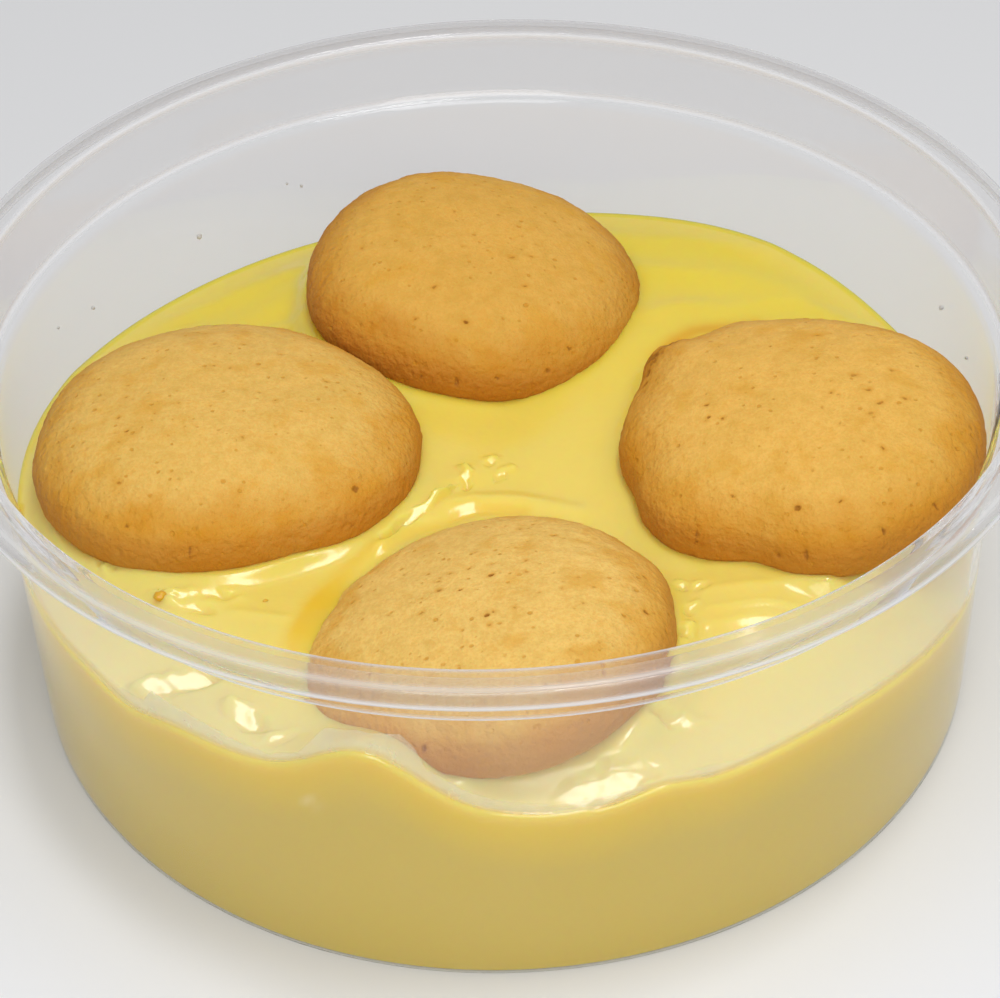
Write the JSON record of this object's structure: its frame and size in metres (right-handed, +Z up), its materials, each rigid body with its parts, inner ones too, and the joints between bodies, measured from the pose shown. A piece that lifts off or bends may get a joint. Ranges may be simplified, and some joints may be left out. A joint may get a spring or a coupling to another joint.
{
  "type": "banana pudding cup",
  "caption": "Thick yellow banana pudding in a shallow clear round cup, with domed vanilla wafers set in its spooned top.",
  "frame": {"origin": "centre of the foot of the cup, on the surface it stands on", "axes": "+Z up, the cup's own axis; -Y is the front, which faces the viewer"},
  "size_m": [0.1174, 0.1174, 0.0454],
  "materials": {
    "clear_plastic": "clear, smooth and glossy",
    "pudding": "wet and glossy, smooth",
    "wafer": "dry, baked and finely pitted"
  },
  "bodies": {
    "root": {"cup": "clear_plastic", "pudding": "pudding", "wafer_back": "wafer", "wafer_left": "wafer", "wafer_right": "wafer", "wafer_front": "wafer"}
  },
  "joints": []
}
